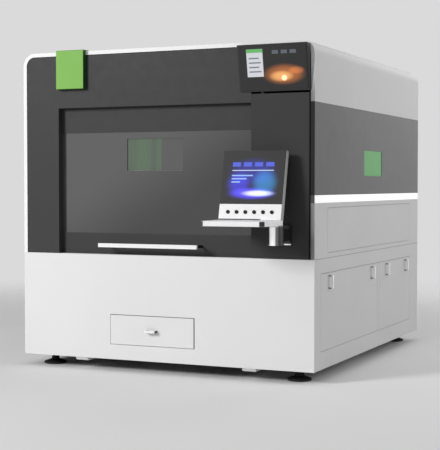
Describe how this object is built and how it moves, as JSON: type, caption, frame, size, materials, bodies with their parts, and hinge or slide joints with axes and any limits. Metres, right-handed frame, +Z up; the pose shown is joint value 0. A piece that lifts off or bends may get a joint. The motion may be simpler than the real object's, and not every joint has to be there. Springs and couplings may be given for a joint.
{
  "type": "fiber laser cutting machine",
  "caption": "Enclosed flat-bed fiber laser cutting machine: lift-up door with safety window, slag drawer, swivel console and a gantry that carries the cutting head over a slat bed.",
  "frame": {"origin": "on the floor, in the middle of the footprint from the console tray's front to the exhaust spigot's end", "axes": "+X to the right seen from the front, +Y to the rear, +Z up"},
  "size_m": [2.12, 2.9, 2.082],
  "materials": {
    "frame_steel": "satin paint",
    "white_paint": "fine texture paint",
    "grey_paint": "fine texture paint",
    "dark_paint": "fine texture paint",
    "band_paint": "fine texture paint",
    "light_strip": "satin",
    "green_plastic": "gloss",
    "green_glass": "tinted",
    "smoked_glass": "smoked",
    "screen_glass": "gloss",
    "black_plastic": "satin",
    "black_rubber": "matt",
    "housing_plastic": "satin",
    "bright_steel": "polished",
    "rail_steel": "ground",
    "sheet_steel": "galvanised",
    "slat_steel": "scorched",
    "bed_paint": "satin paint",
    "aluminium": "anodised",
    "copper": "turned"
  },
  "bodies": {
    "cabinet": {"base_frame": "frame_steel", "upper_frame": "frame_steel", "lower_front_panel": "white_paint", "roof_shell": "white_paint", "skid_rails": "white_paint", "lower_side_panels": "grey_paint", "access_panels_right": "grey_paint", "access_panels_left": "grey_paint", "mid_panels": "grey_paint", "side_hatches": "grey_paint", "rear_lower_panel": "grey_paint", "rear_upper_panel": "grey_paint", "laser_source": "grey_paint", "control_cabinet": "grey_paint", "front_fascia": "dark_paint", "right_column": "dark_paint", "display_housing": "dark_paint", "side_band_right": "band_paint", "side_band_left": "band_paint", "light_strips": "light_strip", "corner_tab": "green_plastic", "side_windows": "green_glass", "display_screen": "screen_glass", "levelling_feet": "black_rubber", "access_handles": "bright_steel", "console_bracket": "bright_steel", "door_rails": "rail_steel", "y_tracks": "rail_steel", "exhaust_spigot": "sheet_steel", "drawer_rails": "sheet_steel", "slag_hopper": "sheet_steel", "table_slats": "slat_steel", "bed_beams": "bed_paint", "table_frame": "bed_paint"},
    "door": {"door_panel": "dark_paint", "door_glass": "smoked_glass", "door_window": "green_glass", "door_handle": "white_paint", "door_carriages": "black_plastic"},
    "drawer": {"drawer_tray": "sheet_steel", "drawer_front": "white_paint", "drawer_handle": "bright_steel"},
    "console": {"console_pivot": "bright_steel", "console_tray": "white_paint", "console_housing": "housing_plastic", "console_screen": "screen_glass", "button_panel": "white_paint"},
    "gantry": {"gantry_beam": "aluminium", "gantry_trucks": "aluminium", "x_tracks": "rail_steel"},
    "carriage": {"carriage": "aluminium", "z_axis": "aluminium"},
    "head": {"cutting_head": "aluminium", "nozzle": "copper"},
    "key_1": {"button_1": "black_plastic"},
    "key_2": {"button_2": "black_plastic"},
    "key_3": {"button_3": "black_plastic"},
    "key_4": {"button_4": "black_plastic"},
    "key_5": {"button_5": "black_plastic"},
    "key_6": {"button_6": "black_plastic"}
  },
  "joints": [
    {"name": "door_lift", "type": "slide", "parent": "cabinet", "child": "door", "axis": [0, 0, 1], "range_m": [0, 0.3]},
    {"name": "drawer_slide", "type": "slide", "parent": "cabinet", "child": "drawer", "axis": [0, -1, 0], "range_m": [0, 0.45]},
    {"name": "console_swivel", "type": "hinge", "parent": "cabinet", "child": "console", "pos_m": [0.852, -1.17, 0.9], "axis": [0, 0, 1], "range_deg": [0, 90]},
    {"name": "gantry_y", "type": "slide", "parent": "cabinet", "child": "gantry", "axis": [0, -1, 0], "range_m": [0, 1.3]},
    {"name": "carriage_x", "type": "slide", "parent": "gantry", "child": "carriage", "axis": [1, 0, 0], "range_m": [0, 1.3]},
    {"name": "head_z", "type": "slide", "parent": "carriage", "child": "head", "axis": [0, 0, -1], "range_m": [0, 0.09]},
    {"name": "button_1_press", "type": "slide", "parent": "console", "child": "key_1", "axis": [0, 0.9763, -0.2164], "range_m": [0, 0.004], "stiffness_N_per_m": 600, "springref_m": -0.001},
    {"name": "button_2_press", "type": "slide", "parent": "console", "child": "key_2", "axis": [0, 0.9763, -0.2164], "range_m": [0, 0.004], "stiffness_N_per_m": 600, "springref_m": -0.001},
    {"name": "button_3_press", "type": "slide", "parent": "console", "child": "key_3", "axis": [0, 0.9763, -0.2164], "range_m": [0, 0.004], "stiffness_N_per_m": 600, "springref_m": -0.001},
    {"name": "button_4_press", "type": "slide", "parent": "console", "child": "key_4", "axis": [0, 0.9763, -0.2164], "range_m": [0, 0.004], "stiffness_N_per_m": 600, "springref_m": -0.001},
    {"name": "button_5_press", "type": "slide", "parent": "console", "child": "key_5", "axis": [0, 0.9763, -0.2164], "range_m": [0, 0.004], "stiffness_N_per_m": 600, "springref_m": -0.001},
    {"name": "button_6_press", "type": "slide", "parent": "console", "child": "key_6", "axis": [0, 0.9763, -0.2164], "range_m": [0, 0.004], "stiffness_N_per_m": 600, "springref_m": -0.001}
  ]
}
